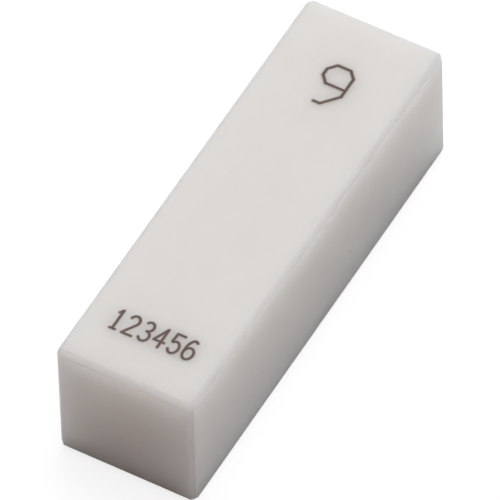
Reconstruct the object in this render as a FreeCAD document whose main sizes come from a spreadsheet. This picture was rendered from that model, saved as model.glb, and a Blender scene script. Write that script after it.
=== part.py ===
import FreeCAD, Part
import Sketcher
import os

# Rectangular gauge block of nominal length 9 mm, one solid piece of zirconia ceramic.
#
# The block lies on one of its two side faces. Millimetres, +Z up:
#   origin   middle of the face that the block lies on
#   X        the 30 mm side of the cross-section, from end face to end face
#   Y        the measured length, between the two lapped measuring faces at +Y and -Y
#   Z        the 9 mm side of the cross-section, from side face to side face
# From 6 mm of nominal length up, the size is marked on a side face: here the one on top.
# The characters stand up towards +X, so the measuring face at -Y is the one called the right.

BLOCK_NODE = "gauge_block"

# The driving sizes in millimetres: alias, value and what it is.
SIZES = (
    ("nominal_length", 9.0, "between the two measuring faces"),
    ("section_length", 30.0, "between the two end faces, 30 +0 -0.3"),
    ("section_width", 8.95, "between the two side faces, 9 -0.05 -0.2"),
    ("measuring_edge_chamfer", 0.28, "leg of the chamfer round each measuring face, at most 0.3"),
    ("section_corner_chamfer", 0.33, "leg of the chamfer where a side face meets an end face"),
    ("lip_radius", 0.15, "rounding along both lips of every chamfer"),
)

# Two places closer than this, in millimetres, count as one.
SAME_PLACE = 1e-6

# How the sketcher numbers a line's two ends, and the sketch's own origin.
LINE_START = 1
LINE_END = 2
SKETCH_ORIGIN = (-1, 1)


def add_size_sheet(document):
    """Put the driving sizes in a sheet: name, value under its alias, remark."""
    sheet = document.addObject("Spreadsheet::Sheet", "sizes")
    for row, (alias, value, remark) in enumerate(SIZES, start=1):
        sheet.set(f"A{row}", alias)
        sheet.set(f"B{row}", str(value))
        sheet.set(f"C{row}", remark)
        sheet.setAlias(f"B{row}", alias)
    document.recompute()
    return sheet


def origin_plane(body, role):
    """Find one of the body's own origin planes by its role."""
    for feature in body.Origin.OriginFeatures:
        if feature.Role == role:
            return feature
    raise RuntimeError(f"{body.Label} has no {role}")


def add_section(body):
    """Sketch the cross-section: a rectangle that stands on the origin and is centred on it."""
    sketch = body.newObject("Sketcher::SketchObject", "section")
    sketch.AttachmentSupport = [(origin_plane(body, "XZ_Plane"), "")]
    sketch.MapMode = "FlatFace"

    # A rough rectangle, which the constraints then bring to size.
    corners = (
        FreeCAD.Vector(-1, 0, 0),
        FreeCAD.Vector(1, 0, 0),
        FreeCAD.Vector(1, 1, 0),
        FreeCAD.Vector(-1, 1, 0),
    )
    sides = []
    for start, end in zip(corners, corners[1:] + corners[:1]):
        sides.append(sketch.addGeometry(Part.LineSegment(start, end), False))
    bottom, far_end, top, near_end = sides

    def constrain(kind, *targets):
        return sketch.addConstraint(Sketcher.Constraint(kind, *targets))

    for side, following in zip(sides, sides[1:] + sides[:1]):
        constrain("Coincident", side, LINE_END, following, LINE_START)
    constrain("Horizontal", bottom)
    constrain("Horizontal", top)
    constrain("Vertical", far_end)
    constrain("Vertical", near_end)
    constrain("Symmetric", bottom, LINE_START, bottom, LINE_END, *SKETCH_ORIGIN)
    length = constrain("DistanceX", bottom, LINE_START, bottom, LINE_END, 2.0)
    width = constrain("DistanceY", far_end, LINE_START, far_end, LINE_END, 1.0)
    sketch.renameConstraint(length, "length")
    sketch.renameConstraint(width, "width")
    sketch.setExpression("Constraints.length", "sizes.section_length")
    sketch.setExpression("Constraints.width", "sizes.section_width")
    return sketch


def edge_names(feature, wanted):
    """Name the feature's edges that pass the test."""
    names = []
    for number, edge in enumerate(feature.Shape.Edges, start=1):
        if wanted(edge):
            names.append(f"Edge{number}")
    return names


def runs_along_y(edge):
    """Whether the edge runs straight from one measuring face to the other."""
    start, end = (vertex.Point for vertex in edge.Vertexes)
    step = end - start
    return abs(step.x) < SAME_PLACE and abs(step.z) < SAME_PLACE


def add_chamfer(body, name, base, edges, size):
    """Break the named edges with an even chamfer whose leg comes from the sheet."""
    chamfer = body.newObject("PartDesign::Chamfer", name)
    chamfer.Base = (base, edges)
    chamfer.setExpression("Size", f"sizes.{size}")
    return chamfer


def make_block(document, sheet):
    """Build the block: a bar cut to its nominal length, its edges chamfered, the lips rounded."""
    body = document.addObject("PartDesign::Body", "block")
    body.Label = BLOCK_NODE
    section = add_section(body)

    bar = body.newObject("PartDesign::Pad", "bar")
    bar.Profile = section
    bar.SideType = "Symmetric"
    bar.setExpression("Length", "sizes.nominal_length")
    document.recompute()

    # The four edges that run along the measured length go first, so that the chamfer round
    # each measuring face then turns its corners on them.
    section_corners = add_chamfer(
        body, "section_corners", bar, edge_names(bar, runs_along_y), "section_corner_chamfer"
    )
    document.recompute()

    measuring_face_y = sheet.nominal_length / 2

    def borders_measuring_face(edge):
        distances = (abs(abs(vertex.Point.y) - measuring_face_y) for vertex in edge.Vertexes)
        return max(distances) < SAME_PLACE and not runs_along_y(edge)

    measuring_edges = add_chamfer(
        body,
        "measuring_edges",
        section_corners,
        edge_names(section_corners, borders_measuring_face),
        "measuring_edge_chamfer",
    )
    document.recompute()

    # Every edge that is left is the lip of a chamfer, or the mitre between two of them.
    lips = body.newObject("PartDesign::Fillet", "rounded_lips")
    lips.Base = (measuring_edges, edge_names(measuring_edges, lambda edge: True))
    lips.setExpression("Radius", "sizes.lip_radius")
    document.recompute()

    body.Tip = lips
    return body


def check_document(document):
    """Stop if any object of the document failed to compute."""
    for item in document.Objects:
        if "Invalid" in item.State or "Error" in item.State:
            raise RuntimeError(f"{item.Label} did not compute: {item.State}")


def write_node(body, folder):
    """Check the finished solid and write it under its node's name."""
    shape = body.Shape
    if shape.isNull() or not shape.isValid():
        raise RuntimeError(f"{body.Label} is not a valid shape")
    if len(shape.Solids) != 1:
        raise RuntimeError(f"{body.Label} is {len(shape.Solids)} solids, not one")
    shape.exportStep(os.path.join(folder, f"{body.Label}.step"))
    box = shape.optimalBoundingBox(False)
    print(f"{body.Label}: {box.XLength:.3f} x {box.YLength:.3f} x {box.ZLength:.3f} mm,")
    print(f"  {shape.Volume:.2f} mm3, {len(shape.Faces)} faces")


def main():
    """Make the document, build the block in it and write the block's file."""
    document = FreeCAD.newDocument("gauge_block")
    sheet = add_size_sheet(document)
    block = make_block(document, sheet)
    document.recompute()
    check_document(document)
    os.makedirs("parts", exist_ok=True)
    write_node(block, "parts")


main()
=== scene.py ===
"""Looks of a rectangular gauge block in white zirconia: its finishes, its marks and the studio.

Everything is in metres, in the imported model's own frame: the block lies on one side face with
its 30 mm length along X, its measured length along Y and the marked side face on top.
"""
import logging
import math
from dataclasses import dataclass
from enum import Enum

import bmesh
import bpy
from mathutils import Matrix, Vector


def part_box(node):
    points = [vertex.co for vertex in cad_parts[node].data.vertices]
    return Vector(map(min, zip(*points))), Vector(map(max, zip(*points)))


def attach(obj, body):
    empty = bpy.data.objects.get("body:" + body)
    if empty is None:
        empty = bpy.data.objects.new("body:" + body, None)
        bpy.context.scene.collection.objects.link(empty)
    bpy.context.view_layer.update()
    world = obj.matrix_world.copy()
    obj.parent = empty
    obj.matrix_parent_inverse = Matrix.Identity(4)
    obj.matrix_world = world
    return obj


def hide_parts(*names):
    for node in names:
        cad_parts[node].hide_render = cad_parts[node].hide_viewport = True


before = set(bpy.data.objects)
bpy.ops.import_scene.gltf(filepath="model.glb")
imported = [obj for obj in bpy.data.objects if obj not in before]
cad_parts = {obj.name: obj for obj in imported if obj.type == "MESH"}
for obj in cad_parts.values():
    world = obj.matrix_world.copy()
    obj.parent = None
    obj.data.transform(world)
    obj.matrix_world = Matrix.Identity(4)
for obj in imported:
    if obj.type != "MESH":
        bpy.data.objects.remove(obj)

MM = 0.001
NODE = "gauge_block"
BODY = "root"
# Cosine above which a direction counts as lying along an axis.
ALONG_AXIS = 0.999

log = logging.getLogger("gauge_block")


# ---------------------------------------------------------------------------------------
# Colour, nodes and small mesh helpers
# ---------------------------------------------------------------------------------------


def linear(hex_colour: str) -> tuple[float, float, float, float]:
    """Turn an sRGB colour into the linear values that a shader takes.

    Args:
        hex_colour: The colour as six hexadecimal digits, with or without a leading #.

    Returns:
        Linear red, green and blue, and an alpha of one.
    """
    digits = hex_colour.lstrip("#")
    channels = []
    for start in (0, 2, 4):
        value = int(digits[start:start + 2], 16) / 255
        channels.append(value / 12.92 if value <= 0.04045 else ((value + 0.055) / 1.055) ** 2.4)
    return (channels[0], channels[1], channels[2], 1.0)


def add_node(
    tree: bpy.types.NodeTree,
    kind: str,
    settings: dict[str, object] | None = None,
    inputs: dict[str | int, object] | None = None,
) -> bpy.types.Node:
    """Add one node, set it up and link it.

    Args:
        tree: The node tree to add to.
        kind: The node's type, such as ShaderNodeMix.
        settings: Values for the node's own properties.
        inputs: Values for its sockets by name or number. An output socket is linked.

    Returns:
        The new node.
    """
    node = tree.nodes.new(kind)
    for name, value in (settings or {}).items():
        setattr(node, name, value)
    for key, value in (inputs or {}).items():
        if isinstance(value, bpy.types.NodeSocket):
            tree.links.new(value, node.inputs[key])
        else:
            node.inputs[key].default_value = value
    return node


def new_material(name: str) -> bpy.types.Material:
    """Make an empty node material.

    Args:
        name: What the surface is.

    Returns:
        The material, with no node in its tree.
    """
    material = bpy.data.materials.new(name)
    material.use_nodes = True
    material.node_tree.nodes.clear()
    return material


def object_from(bm: bmesh.types.BMesh, name: str) -> bpy.types.Object:
    """Turn a finished bmesh into an object of the scene and free it.

    Args:
        bm: The mesh, in place in the model's frame.
        name: The object's name.

    Returns:
        The object, unturned and unscaled at the origin.
    """
    mesh = bpy.data.meshes.new(name)
    bm.normal_update()
    bm.to_mesh(mesh)
    bm.free()
    piece = bpy.data.objects.new(name, mesh)
    bpy.context.scene.collection.objects.link(piece)
    return piece


# ---------------------------------------------------------------------------------------
# Finishes
# ---------------------------------------------------------------------------------------


class Surface(Enum):
    """The differently made surfaces of the block, in the order of its material slots."""

    MEASURING = 0
    SIDE = 1
    END = 2
    EDGE = 3


@dataclass(frozen=True)
class ZirconiaFinish:
    """One finish of yttria-stabilised zirconia, a dense white ceramic.

    The body of the ceramic is the same everywhere: a warm white in which light spreads for
    some millimetres, under a surface as glossy as its high index makes it. What differs is
    how the surface was made, which sets the roughness and the tool marks. Real tool marks lie
    a few hundredths of a millimetre apart or closer, too fine to show, so line_spacing draws
    them several times as coarse.
    """

    name: str
    roughness: float
    line_axis: str
    line_spacing: float
    line_depth: float
    colour: str = "#E3E1DC"
    shade: str = "#DEDBD5"
    mottle_size: float = 1.6 * MM
    haze: float = 0.05
    haze_size: float = 6.4 * MM
    line_stretch: float = 0.02
    index: float = 2.15
    scatter_depth: float = 8.0 * MM
    speck: tuple[float, float, float] | None = None
    speck_radius: float = 0.11 * MM
    speck_cover: float = 0.35
    speck_colour: str = "#6E706B"

    def material(self) -> bpy.types.Material:
        """Build the finish's material."""
        material = new_material(self.name)
        tree = material.node_tree
        place = add_node(tree, "ShaderNodeTexCoord").outputs["Object"]

        # The white varies by a shade or so over a millimetre or two, as sintered powder does.
        mottle = add_node(
            tree, "ShaderNodeTexNoise",
            {"noise_dimensions": "3D"},
            {"Vector": place, "Scale": 1 / self.mottle_size, "Detail": 3.0, "Roughness": 0.55},
        )
        colour = add_node(
            tree, "ShaderNodeMix",
            {"data_type": "RGBA"},
            {"Factor": mottle.outputs["Fac"], 6: linear(self.colour), 7: linear(self.shade)},
        ).outputs[2]
        if self.speck is not None:
            colour = self._stain(tree, place, colour)

        # Handling leaves a haze that shifts the gloss a little from place to place.
        haze = add_node(
            tree, "ShaderNodeTexNoise",
            {"noise_dimensions": "3D"},
            {"Vector": place, "Scale": 1 / self.haze_size, "Detail": 4.0},
        )
        roughness = add_node(
            tree, "ShaderNodeMapRange",
            {},
            {
                "Value": haze.outputs["Fac"],
                "To Min": self.roughness - self.haze,
                "To Max": self.roughness + self.haze,
            },
        )

        # Tool marks: noise drawn out along the way the wheel or lap ran.
        stretch = [self.line_stretch if axis == self.line_axis else 1.0 for axis in "XYZ"]
        along = add_node(
            tree, "ShaderNodeMapping",
            {"vector_type": "POINT"},
            {"Vector": place, "Scale": stretch},
        )
        lines = add_node(
            tree, "ShaderNodeTexNoise",
            {"noise_dimensions": "3D"},
            {"Vector": along.outputs["Vector"], "Scale": 1 / self.line_spacing, "Detail": 2.0},
        )
        bump = add_node(
            tree, "ShaderNodeBump",
            {},
            {"Height": lines.outputs["Fac"], "Strength": 1.0, "Distance": self.line_depth},
        )

        shader = add_node(
            tree, "ShaderNodeBsdfPrincipled",
            {"subsurface_method": "RANDOM_WALK"},
            {
                "Base Color": colour,
                "Roughness": roughness.outputs["Result"],
                "IOR": self.index,
                "Normal": bump.outputs["Normal"],
                "Subsurface Weight": 1.0,
                "Subsurface Radius": (1.0, 0.95, 0.9),
                "Subsurface Scale": self.scatter_depth,
            },
        )
        add_node(tree, "ShaderNodeOutputMaterial", {}, {"Surface": shader.outputs["BSDF"]})
        return material

    def _stain(
        self,
        tree: bpy.types.NodeTree,
        place: bpy.types.NodeSocket,
        colour: bpy.types.NodeSocket,
    ) -> bpy.types.NodeSocket:
        """Lay a small faint spot of dirt over the colour, where the finish places it."""
        distance = add_node(
            tree, "ShaderNodeVectorMath",
            {"operation": "DISTANCE"},
            {0: place, 1: self.speck},
        )
        cover = add_node(
            tree, "ShaderNodeMapRange",
            {"interpolation_type": "SMOOTHSTEP"},
            {
                "Value": distance.outputs["Value"],
                "From Min": 0.5 * self.speck_radius,
                "From Max": 1.5 * self.speck_radius,
                "To Min": self.speck_cover,
                "To Max": 0.0,
            },
        )
        return add_node(
            tree, "ShaderNodeMix",
            {"data_type": "RGBA"},
            {"Factor": cover.outputs["Result"], 6: colour, 7: linear(self.speck_colour)},
        ).outputs[2]


@dataclass(frozen=True)
class LaserMarkFinish:
    """The brown-black stain that a marking laser burns into zirconia, matt and uneven.

    The burn is darkest along the middle of the line, where the spot is hottest, and fades to
    brown at its sides. The line stands a few micrometres proud with a crowned top, so the
    height over the face tells how far a point is from the middle.
    """

    name: str = "laser-burnt zirconia"
    core: str = "#43322C"
    core_worn: str = "#66554F"
    rim: str = "#CDC3BD"
    fade_start: float = 0.5
    patch_size: float = 0.5 * MM
    roughness: float = 0.75
    index: float = 1.4

    def material(self, top: float, crown: float) -> bpy.types.Material:
        """Build the mark's material.

        Args:
            top: Height of the marked face.
            crown: How far the middle of a line stands proud of it.

        Returns:
            The material.
        """
        material = new_material(self.name)
        tree = material.node_tree
        place = add_node(tree, "ShaderNodeTexCoord").outputs["Object"]
        patches = add_node(
            tree, "ShaderNodeTexNoise",
            {"noise_dimensions": "3D"},
            {"Vector": place, "Scale": 1 / self.patch_size, "Detail": 2.0},
        )
        core = add_node(
            tree, "ShaderNodeMix",
            {"data_type": "RGBA"},
            {"Factor": patches.outputs["Fac"], 6: linear(self.core), 7: linear(self.core_worn)},
        )
        height = add_node(tree, "ShaderNodeSeparateXYZ", {}, {0: place}).outputs["Z"]
        rise = add_node(
            tree, "ShaderNodeMapRange",
            {"interpolation_type": "SMOOTHSTEP"},
            {
                "Value": height,
                "From Min": top + self.fade_start * crown,
                "From Max": top + crown,
            },
        )
        colour = add_node(
            tree, "ShaderNodeMix",
            {"data_type": "RGBA"},
            {"Factor": rise.outputs["Result"], 6: linear(self.rim), 7: core.outputs[2]},
        )
        shader = add_node(
            tree, "ShaderNodeBsdfPrincipled",
            {},
            {"Base Color": colour.outputs[2], "Roughness": self.roughness, "IOR": self.index},
        )
        add_node(tree, "ShaderNodeOutputMaterial", {}, {"Surface": shader.outputs["BSDF"]})
        return material


# ---------------------------------------------------------------------------------------
# The block
# ---------------------------------------------------------------------------------------


@dataclass
class CeramicBlock:
    """The block itself, modelled at the node's own size with its chamfers and lips."""

    low: Vector
    high: Vector
    measuring_edge_chamfer: float = 0.28 * MM
    section_corner_chamfer: float = 0.33 * MM
    lip_radius: float = 0.15 * MM
    lip_segments: int = 4

    def build(self) -> bpy.types.Object:
        """Model the block.

        Returns:
            The block as one closed object.
        """
        bm = bmesh.new()
        bmesh.ops.create_cube(bm, size=1.0)
        bmesh.ops.scale(bm, vec=self.high - self.low, verts=bm.verts)
        bmesh.ops.translate(bm, vec=(self.low + self.high) / 2, verts=bm.verts)

        along_y = [edge for edge in bm.edges if self._runs_along_y(edge)]
        self._bevel(bm, along_y, self.section_corner_chamfer, 1)

        round_measuring = [
            edge for edge in bm.edges
            if not self._runs_along_y(edge)
            and any(abs(face.normal.y) > ALONG_AXIS for face in edge.link_faces)
        ]
        self._bevel(bm, round_measuring, self.measuring_edge_chamfer, 1)

        # Where two planes meet at 45 degrees, a rounding of this radius starts this far back.
        setback = self.lip_radius * math.tan(math.radians(45 / 2))
        self._bevel(bm, list(bm.edges), setback, self.lip_segments)

        for face in bm.faces:
            face.smooth = True
            face.material_index = self._surface_of(face).value
        return object_from(bm, "ceramic_block")

    def dress(self, block: bpy.types.Object, finishes: dict[Surface, ZirconiaFinish]) -> None:
        """Give each kind of surface its finish, and keep the flats flat under smooth shading.

        Args:
            block: The object that build made.
            finishes: The finish of every kind of surface.
        """
        for surface in Surface:
            block.data.materials.append(finishes[surface].material())
        normals = block.modifiers.new("flat faces stay flat", "WEIGHTED_NORMAL")
        normals.weight = 100
        normals.keep_sharp = False
        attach(block, BODY)
        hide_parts(NODE)

    @staticmethod
    def _runs_along_y(edge: bmesh.types.BMEdge) -> bool:
        """Whether the edge runs from one measuring face straight to the other."""
        step = edge.verts[1].co - edge.verts[0].co
        return abs(step.y) > ALONG_AXIS * step.length

    @staticmethod
    def _bevel(
        bm: bmesh.types.BMesh,
        edges: list[bmesh.types.BMEdge],
        offset: float,
        segments: int,
    ) -> None:
        """Cut back some edges by the same leg on both sides."""
        bmesh.ops.bevel(
            bm,
            geom=edges,
            offset=offset,
            offset_type="OFFSET",
            segments=segments,
            profile=0.5,
            affect="EDGES",
            material=-1,
            clamp_overlap=True,
        )
        bm.normal_update()

    def _surface_of(self, face: bmesh.types.BMFace) -> Surface:
        """Tell from its normal how a face was made."""
        normal = face.normal
        if abs(normal.y) > ALONG_AXIS:
            return Surface.MEASURING
        if abs(normal.z) > ALONG_AXIS:
            return Surface.SIDE
        if abs(normal.x) > ALONG_AXIS:
            return Surface.END
        return Surface.EDGE


# ---------------------------------------------------------------------------------------
# The marks
# ---------------------------------------------------------------------------------------


@dataclass(frozen=True)
class Arc:
    """A stretch of an ellipse in a glyph's own units, turned through from one angle to another."""

    centre: tuple[float, float]
    radii: tuple[float, float]
    start: float
    end: float

    def points(self, step: float = 15.0) -> list[tuple[float, float]]:
        """List points along the arc.

        Args:
            step: The largest turn from one point to the next, in degrees.

        Returns:
            The points from start to end.
        """
        count = max(1, math.ceil(abs(self.end - self.start) / step))
        found = []
        for index in range(count + 1):
            angle = math.radians(self.start + (self.end - self.start) * index / count)
            across = self.centre[0] + self.radii[0] * math.cos(angle)
            up = self.centre[1] + self.radii[1] * math.sin(angle)
            found.append((across, up))
        return found


# Turns, in degrees, at which a line's round end is cut into rings.
END_TURNS = (15, 35, 55, 75, 87)

# A glyph is some strokes, and a stroke is points and arcs in the order they are drawn.
Stroke = tuple["Arc | tuple[float, float]", ...]
Glyph = tuple[Stroke, ...]

# Straight-sided nine for the size, on a grid of cells: two cells each way from the middle,
# six cells high.
SIZE_GLYPHS: dict[str, Glyph] = {
    "9": (
        ((-1, 0), (0, 0), (2, 2), (2, 5), (1, 6), (-1, 6), (-2, 5), (-2, 4), (-1, 3), (2, 3)),
    ),
}

# Round single-line figures for the number: half a unit each way from the middle, two units
# high.
NUMBER_GLYPHS: dict[str, Glyph] = {
    "1": (
        ((-0.2, 1.7), (0.05, 2.0), (0.05, 0.0)),
        ((-0.2, 0.0), (0.3, 0.0)),
    ),
    "2": (
        (Arc((0.0, 1.5), (0.45, 0.5), 160, -35), (-0.48, 0.0), (0.48, 0.0)),
    ),
    "3": (
        (Arc((0.0, 1.52), (0.42, 0.48), 140, -90), Arc((0.0, 0.52), (0.48, 0.52), 90, -150)),
    ),
    "4": (
        ((0.2, 0.0), (0.2, 2.0), (-0.5, 0.62), (0.5, 0.62)),
    ),
    "5": (
        ((0.42, 2.0), (-0.34, 2.0), (-0.4, 1.15), Arc((0.0, 0.62), (0.48, 0.62), 130, -150)),
    ),
    "6": (
        (Arc((0.02, 1.0), (0.5, 1.0), 62, 180), Arc((0.0, 0.6), (0.48, 0.6), 180, 540)),
    ),
}


@dataclass
class LaserMark:
    """A row of figures burnt into the top face, read along -Y with their heads towards +X."""

    name: str
    text: str
    glyphs: dict[str, Glyph]
    cell: tuple[float, float]
    pitch: float
    baseline: float
    middle: float
    line_width: float
    thickness: float = 0.010 * MM
    corner: float = 20.0

    def build(self, top: float) -> bpy.types.Object:
        """Draw the figures as thin flat lines on the face.

        Args:
            top: Height of the face.

        Returns:
            The marks as one object.
        """
        bm = bmesh.new()
        for place, figure in enumerate(self.text):
            across = (place - (len(self.text) - 1) / 2) * self.pitch
            for stroke in self.glyphs[figure]:
                for run in self._runs(stroke, across):
                    self._draw(bm, run)
        flatten = Matrix.Diagonal((1.0, 1.0, self.thickness / self.line_width, 1.0))
        # Reading direction to -Y, figures' up to +X.
        turn = Matrix.Rotation(math.radians(-90), 4, "Z")
        put = Matrix.Translation((self.baseline, self.middle, top))
        bmesh.ops.transform(bm, matrix=put @ turn @ flatten, verts=bm.verts)
        bmesh.ops.recalc_face_normals(bm, faces=bm.faces)
        for face in bm.faces:
            face.smooth = True
        return object_from(bm, self.name)

    def dress(self, mark: bpy.types.Object, finish: LaserMarkFinish, top: float) -> None:
        """Give the mark its finish.

        Args:
            mark: The object that build made.
            finish: The burnt surface.
            top: Height of the face.
        """
        mark.data.materials.append(finish.material(top, self.thickness / 2))
        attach(mark, BODY)

    def _runs(self, stroke: Stroke, across: float) -> list[list[Vector]]:
        """Split a stroke at its sharp corners, so that every corner keeps its full width.

        Args:
            stroke: Points and arcs in the glyph's own units.
            across: Where the figure's middle is along the row.

        Returns:
            The smooth runs of the stroke, as points in the row's own plane.
        """
        path = []
        for item in stroke:
            path.extend(item.points() if isinstance(item, Arc) else [item])
        points = [Vector((across + x * self.cell[0], y * self.cell[1], 0.0)) for x, y in path]
        runs = [[points[0], points[1]]]
        for point in points[2:]:
            before, here = runs[-1][-2:]
            if (point - here).length < self.line_width / 100:
                continue
            if (here - before).angle(point - here) > math.radians(self.corner):
                runs.append([here])
            runs[-1].append(point)
        return runs

    def _draw(self, bm: bmesh.types.BMesh, run: list[Vector]) -> None:
        """Add one run as a closed line whose ends are as round as the laser's spot.

        Args:
            bm: The mesh to add to.
            run: Its points.
        """
        curve = bpy.data.curves.new(self.name, "CURVE")
        curve.dimensions = "3D"
        curve.bevel_depth = self.line_width / 2
        curve.bevel_resolution = 4
        curve.use_fill_caps = True
        half = self.line_width / 2
        turns = [math.radians(angle) for angle in END_TURNS]
        before = (run[0] - run[1]).normalized() * half
        after = (run[-1] - run[-2]).normalized() * half
        drawn = [(run[0] + before * math.sin(turn), math.cos(turn)) for turn in reversed(turns)]
        drawn += [(point, 1.0) for point in run]
        drawn += [(run[-1] + after * math.sin(turn), math.cos(turn)) for turn in turns]
        spline = curve.splines.new("POLY")
        spline.points.add(len(drawn) - 1)
        for target, (point, radius) in zip(spline.points, drawn):
            target.co = (*point, 1.0)
            target.radius = radius
        pen = bpy.data.objects.new(self.name, curve)
        mesh = bpy.data.meshes.new_from_object(pen)
        old = set(bm.verts)
        bm.from_mesh(mesh)
        new = [vert for vert in bm.verts if vert not in old]
        bmesh.ops.remove_doubles(bm, verts=new, dist=self.line_width / 1000)
        bpy.data.objects.remove(pen)
        bpy.data.curves.remove(curve)
        bpy.data.meshes.remove(mesh)


# ---------------------------------------------------------------------------------------
# The studio
# ---------------------------------------------------------------------------------------


@dataclass(frozen=True)
class SoftBox:
    """A soft rectangular lamp that faces the block."""

    name: str
    azimuth: float
    elevation: float
    distance: float
    width: float
    height: float
    strength: float
    colour: str = "#FDFDFF"

    def build(self, target: Vector) -> bpy.types.Object:
        """Set the lamp up.

        Args:
            target: What it points at.

        Returns:
            The lamp.
        """
        light = bpy.data.lights.new(self.name, "AREA")
        light.shape = "RECTANGLE"
        light.size = self.width
        light.size_y = self.height
        light.color = linear(self.colour)[:3]
        # Power for an even brightness: a lamp of this strength looks like white times it.
        light.energy = self.strength * math.pi * self.width * self.height
        lamp = bpy.data.objects.new(self.name, light)
        bpy.context.scene.collection.objects.link(lamp)
        # As in a light tent, the gloss mirrors the white room and not the lamps behind it.
        lamp.visible_glossy = False
        away = direction(self.azimuth, self.elevation)
        lamp.location = target + away * self.distance
        lamp.rotation_mode = "QUATERNION"
        lamp.rotation_quaternion = away.to_track_quat("Z", "Y")
        return lamp


def direction(azimuth: float, elevation: float) -> Vector:
    """Point from the block outwards: azimuth 0 is towards -Y and 90 towards +X, in degrees."""
    turn = math.radians(azimuth)
    rise = math.radians(elevation)
    flat = math.cos(rise)
    return Vector((math.sin(turn) * flat, -math.cos(turn) * flat, math.sin(rise)))


@dataclass
class Studio:
    """Pale floor, soft lamps and the camera."""

    centre: Vector
    lamps: tuple[SoftBox, ...]
    ambient: float = 0.02
    ambient_colour: str = "#FFFFFF"
    backdrop: float = 1.0
    floor_size: float = 4.0
    floor_gap: float = 0.01 * MM
    floor_bounce: str = "#929292"
    seen_glow: float = 0.79
    seen_white: float = 0.30
    mirrored_white: float = 1.0
    azimuth: float = -59.193
    elevation: float = 51.464
    roll: float = -1.928
    distance: float = 781.9 * MM
    view_width: float = 28.986 * MM
    aside: float = -0.156 * MM
    above: float = -0.098 * MM

    def build(self) -> None:
        """Set up everything that isn't the block."""
        self._light_the_room()
        self._lay_the_floor()
        for lamp in self.lamps:
            lamp.build(self.centre)
        self._place_the_camera()

    @staticmethod
    def _seen(path: bpy.types.Node) -> bpy.types.NodeSocket:
        """One where the camera, a reflection or a see-through surface looks, else nought.

        Args:
            path: The Light Path node to ask.

        Returns:
            The answer as a factor.
        """
        tree = path.id_data
        camera_or_gloss = add_node(
            tree, "ShaderNodeMath",
            {"operation": "MAXIMUM"},
            {0: path.outputs["Is Camera Ray"], 1: path.outputs["Is Glossy Ray"]},
        )
        return add_node(
            tree, "ShaderNodeMath",
            {"operation": "MAXIMUM"},
            {0: camera_or_gloss.outputs[0], 1: path.outputs["Is Transmission Ray"]},
        ).outputs[0]

    def _light_the_room(self) -> None:
        """Fill light from all round, and white where the room itself is seen."""
        world = bpy.data.worlds.new("studio")
        world.use_nodes = True
        tree = world.node_tree
        tree.nodes.clear()
        fill = add_node(
            tree, "ShaderNodeBackground",
            {},
            {"Color": linear(self.ambient_colour), "Strength": self.ambient},
        )
        white = add_node(
            tree, "ShaderNodeBackground",
            {},
            {"Color": linear("#FFFFFF"), "Strength": self.backdrop},
        )
        path = add_node(tree, "ShaderNodeLightPath")
        mixed = add_node(
            tree, "ShaderNodeMixShader",
            {},
            {0: self._seen(path), 1: fill.outputs[0], 2: white.outputs[0]},
        )
        add_node(tree, "ShaderNodeOutputWorld", {}, {"Surface": mixed.outputs[0]})
        bpy.context.scene.world = world

    def _lay_the_floor(self) -> None:
        """A pale floor that is white where it is seen, but for the block's shadow."""
        bm = bmesh.new()
        bmesh.ops.create_grid(bm, x_segments=1, y_segments=1, size=self.floor_size / 2)
        bmesh.ops.translate(bm, vec=(0, 0, -self.floor_gap), verts=bm.verts)
        floor = object_from(bm, "floor")

        material = new_material("pale studio floor")
        tree = material.node_tree
        bounce = add_node(
            tree, "ShaderNodeBsdfDiffuse",
            {},
            {"Color": linear(self.floor_bounce)},
        )
        path = add_node(tree, "ShaderNodeLightPath")
        white = add_node(
            tree, "ShaderNodeMapRange",
            {},
            {
                "Value": path.outputs["Is Camera Ray"],
                "To Min": self.mirrored_white,
                "To Max": self.seen_white,
            },
        )
        strength = add_node(
            tree, "ShaderNodeMapRange",
            {},
            {
                "Value": path.outputs["Is Camera Ray"],
                "To Min": 0.0,
                "To Max": self.seen_glow * self.backdrop,
            },
        )
        shadowed = add_node(
            tree, "ShaderNodeBsdfDiffuse",
            {},
            {"Color": white.outputs["Result"]},
        )
        glow = add_node(
            tree, "ShaderNodeEmission",
            {},
            {"Color": linear("#FFFFFF"), "Strength": strength.outputs["Result"]},
        )
        seen = add_node(
            tree, "ShaderNodeAddShader",
            {},
            {0: shadowed.outputs[0], 1: glow.outputs[0]},
        )
        mixed = add_node(
            tree, "ShaderNodeMixShader",
            {},
            {0: self._seen(path), 1: bounce.outputs[0], 2: seen.outputs[0]},
        )
        add_node(tree, "ShaderNodeOutputMaterial", {}, {"Surface": mixed.outputs[0]})
        floor.data.materials.append(material)

    def _place_the_camera(self) -> None:
        """Look down along the block from its near end."""
        data = bpy.data.cameras.new("camera")
        data.sensor_width = 36.0
        data.lens = data.sensor_width * self.distance / self.view_width
        data.clip_start = 0.1
        data.clip_end = 10.0
        camera = bpy.data.objects.new("camera", data)
        bpy.context.scene.collection.objects.link(camera)

        back = direction(self.azimuth, self.elevation)
        turn = math.radians(self.azimuth)
        level_right = Vector((math.cos(turn), math.sin(turn), 0.0))
        level_up = back.cross(level_right)
        lean = math.radians(self.roll)
        right = level_right * math.cos(lean) + level_up * math.sin(lean)
        up = level_up * math.cos(lean) - level_right * math.sin(lean)
        place = self.centre + back * self.distance + right * self.aside + up * self.above
        camera.matrix_world = Matrix((
            (right.x, up.x, back.x, place.x),
            (right.y, up.y, back.y, place.y),
            (right.z, up.z, back.z, place.z),
            (0.0, 0.0, 0.0, 1.0),
        ))
        bpy.context.scene.camera = camera


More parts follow.
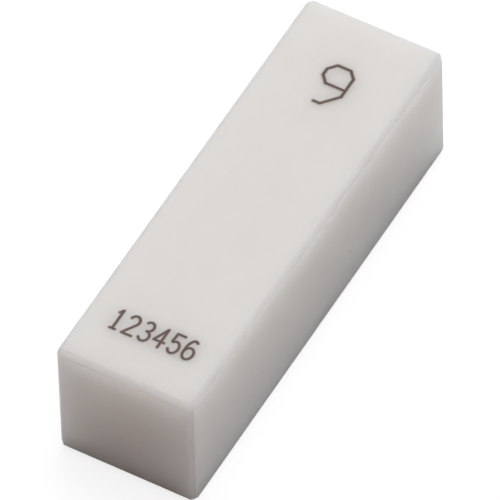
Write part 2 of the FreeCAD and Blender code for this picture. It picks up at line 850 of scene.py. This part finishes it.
def main() -> None:
    """Build the block, its marks and the studio, in that order."""
    logging.basicConfig(level=logging.INFO, format="%(name)s: %(message)s")
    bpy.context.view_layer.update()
    low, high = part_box(NODE)

    block_form = CeramicBlock(low, high)
    block = block_form.build()
    # Ground with a fine wheel along the block, which leaves a satin white.
    ground = ZirconiaFinish(
        "ground zirconia", roughness=0.34, line_axis="X", line_spacing=0.12 * MM,
        line_depth=0.0004 * MM, scatter_depth=3.5 * MM,
    )
    # Lapped flat with diamond, so it is the glossiest and shows almost no lines.
    lapped = ZirconiaFinish(
        "lapped zirconia", roughness=0.14, line_axis="X", line_spacing=0.08 * MM,
        line_depth=0.0001 * MM, speck=(3.5 * MM, low.y, 2.95 * MM),
    )
    # Ground across the block with a coarser wheel, which makes the ends the most matt.
    ends = ZirconiaFinish(
        "ground zirconia, end", roughness=0.38, line_axis="Y", line_spacing=0.12 * MM,
        line_depth=0.0004 * MM,
    )
    # Chamfers and lips honed by hand, a little smoother than the ground faces.
    edges = ZirconiaFinish(
        "honed zirconia", roughness=0.30, line_axis="Y", line_spacing=0.08 * MM,
        line_depth=0.0003 * MM, scatter_depth=6.0 * MM,
    )
    block_form.dress(block, {
        Surface.MEASURING: lapped,
        Surface.SIDE: ground,
        Surface.END: ends,
        Surface.EDGE: edges,
    })
    log.info("%s: %d faces", block.name, len(block.data.polygons))

    burnt = LaserMarkFinish()
    size_mark = LaserMark(
        name="size_mark", text="9", glyphs=SIZE_GLYPHS, cell=(0.435 * MM, 0.495 * MM),
        pitch=0.0, baseline=8.17 * MM, middle=0.02 * MM, line_width=0.30 * MM,
    )
    number_mark = LaserMark(
        name="number_mark", text="123456", glyphs=NUMBER_GLYPHS, cell=(0.65 * MM, 0.71 * MM),
        pitch=0.955 * MM, baseline=-11.98 * MM, middle=0.06 * MM, line_width=0.27 * MM,
    )
    for form in (size_mark, number_mark):
        mark = form.build(high.z)
        form.dress(mark, burnt, high.z)
        log.info("%s: %d faces", mark.name, len(mark.data.polygons))

    lamps = (
        SoftBox("softbox overhead", 90.0, 79.0, 0.50, 0.60, 0.60, 1.32),
        SoftBox("softbox behind", 90.0, 60.0, 0.50, 0.40, 0.40, 1.75),
        SoftBox("softbox at the right", 0.0, 50.0, 0.50, 0.50, 0.40, 0.93),
        SoftBox("softbox at the left", 150.0, 22.0, 0.50, 0.90, 0.40, 0.96),
        SoftBox("warm fill at the near end", -90.0, 8.0, 0.50, 0.50, 0.30, 0.57, "#FFB48F"),
    )
    Studio((low + high) / 2, lamps).build()

    scene = bpy.context.scene
    scene.view_settings.view_transform = "Standard"


if __name__ == "__main__":
    main()
